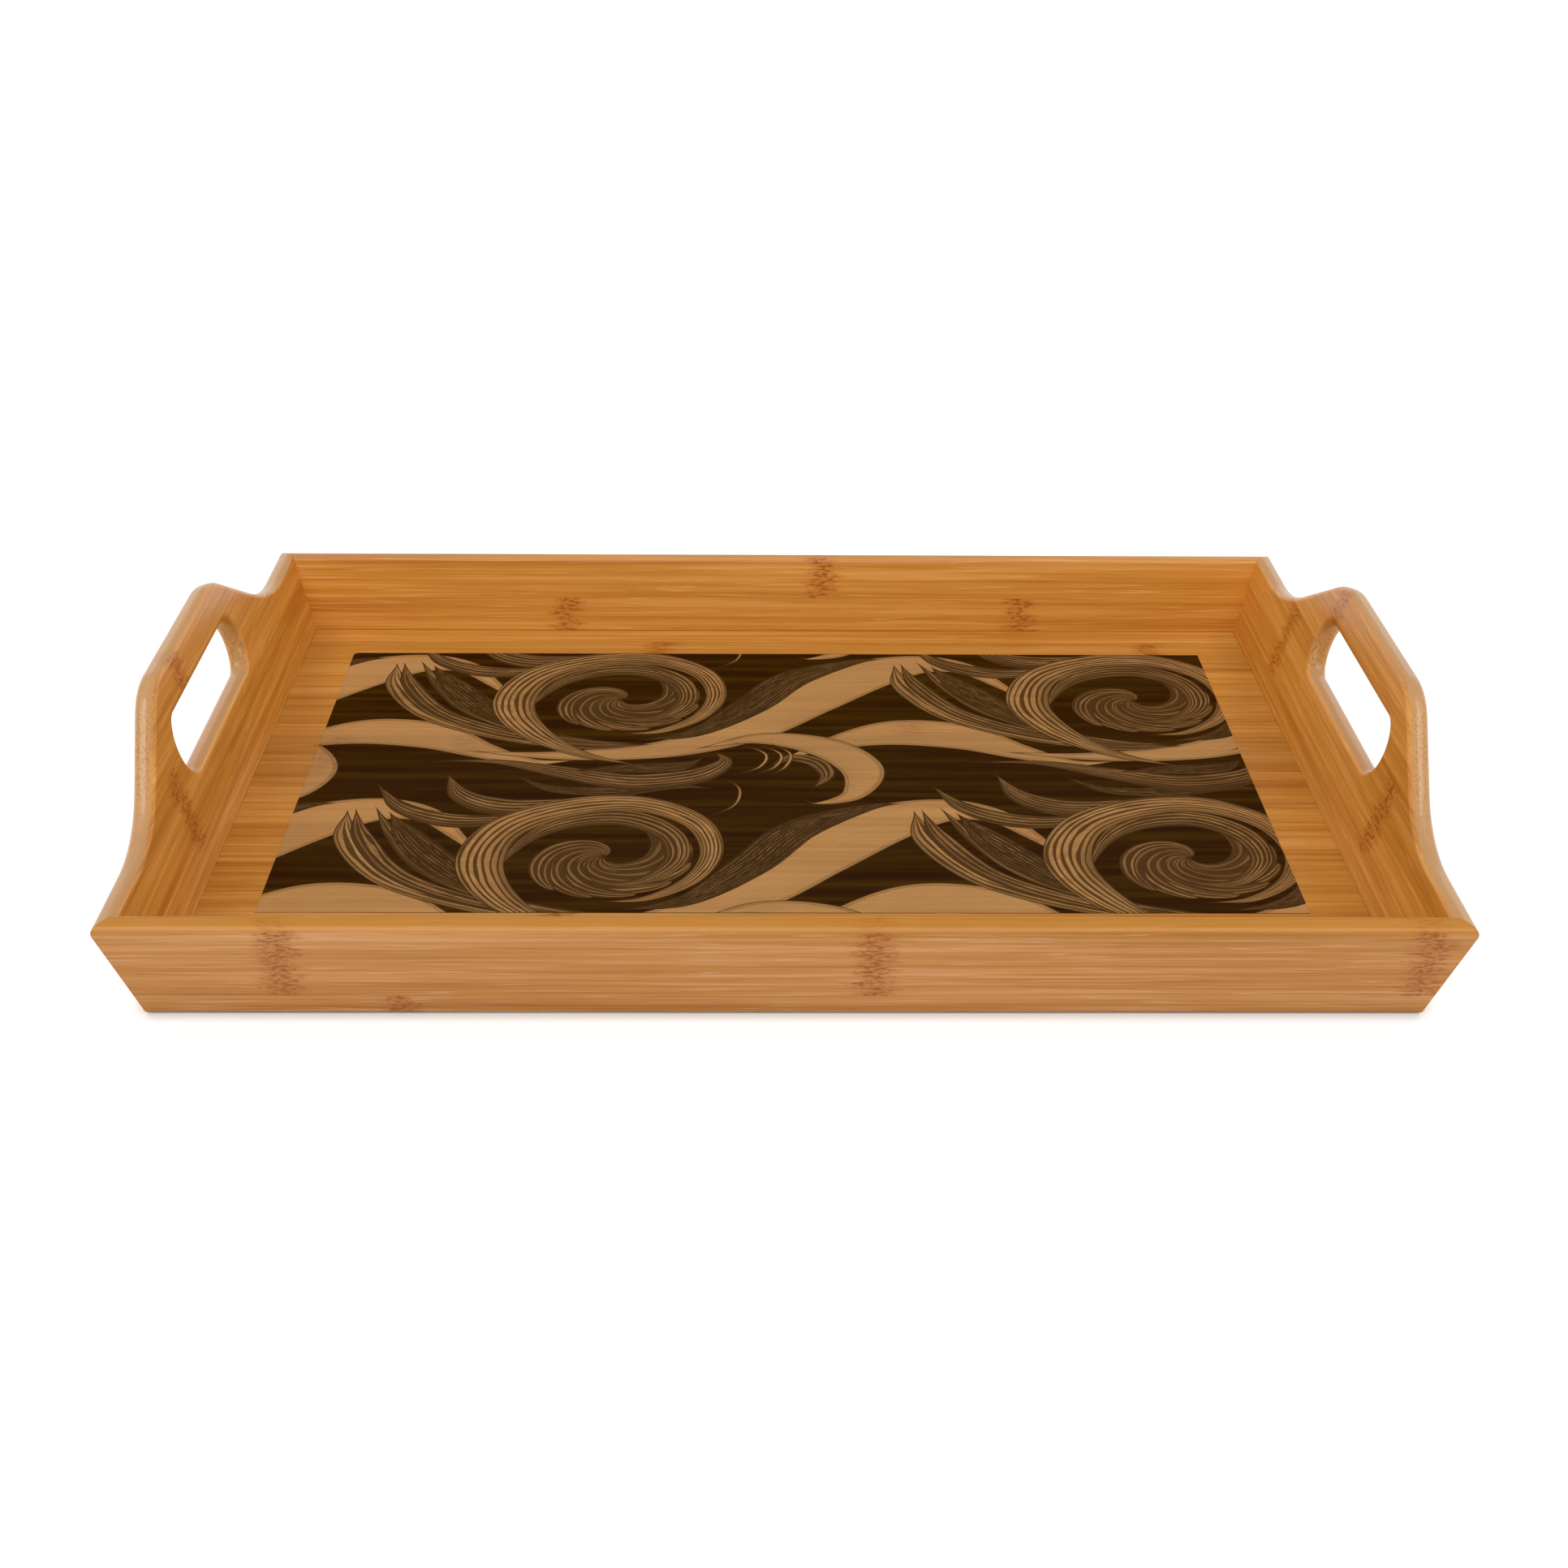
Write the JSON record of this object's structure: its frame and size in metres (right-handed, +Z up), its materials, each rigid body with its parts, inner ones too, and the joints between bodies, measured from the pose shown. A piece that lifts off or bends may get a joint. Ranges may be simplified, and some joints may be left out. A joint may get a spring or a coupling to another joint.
{
  "type": "serving tray",
  "caption": "Shallow rectangular bamboo serving tray with flared mitred walls, raised end walls with hand slots, and a printed scroll pattern on its floor.",
  "frame": {"origin": "centre of the base, on the surface the tray stands on", "axes": "+X to the right along the long side, +Y to the rear, +Z up; the hand slots are at -X and +X"},
  "size_m": [0.4632, 0.3384, 0.0713],
  "materials": {
    "bamboo_rail": "caramel bamboo under satin lacquer, grain along the rail",
    "bamboo_end": "caramel bamboo under satin lacquer, grain across the tray",
    "bamboo_floor": "edge-glued caramel bamboo strips under satin lacquer",
    "bamboo_spline": "raw pale bamboo, hidden in the corner joints",
    "print_ink": "dark olive-brown ink film with tan scrolls, wood grain showing through"
  },
  "bodies": {
    "root": {"front_rail_lower_strip": "bamboo_rail", "front_rail_upper_strip": "bamboo_rail", "rear_rail_lower_strip": "bamboo_rail", "rear_rail_upper_strip": "bamboo_rail", "right_end_wall_lower_strip": "bamboo_end", "right_end_wall_middle_strip": "bamboo_end", "right_end_wall_grip_strip": "bamboo_end", "left_end_wall_lower_strip": "bamboo_end", "left_end_wall_middle_strip": "bamboo_end", "left_end_wall_grip_strip": "bamboo_end", "floor_strip_01": "bamboo_floor", "floor_strip_02": "bamboo_floor", "floor_strip_03": "bamboo_floor", "floor_strip_04": "bamboo_floor", "floor_strip_05": "bamboo_floor", "floor_strip_06": "bamboo_floor", "floor_strip_07": "bamboo_floor", "floor_strip_08": "bamboo_floor", "floor_strip_09": "bamboo_floor", "floor_strip_10": "bamboo_floor", "front_right_corner_spline": "bamboo_spline", "rear_right_corner_spline": "bamboo_spline", "rear_left_corner_spline": "bamboo_spline", "front_left_corner_spline": "bamboo_spline", "printed_layer": "print_ink"}
  },
  "joints": []
}
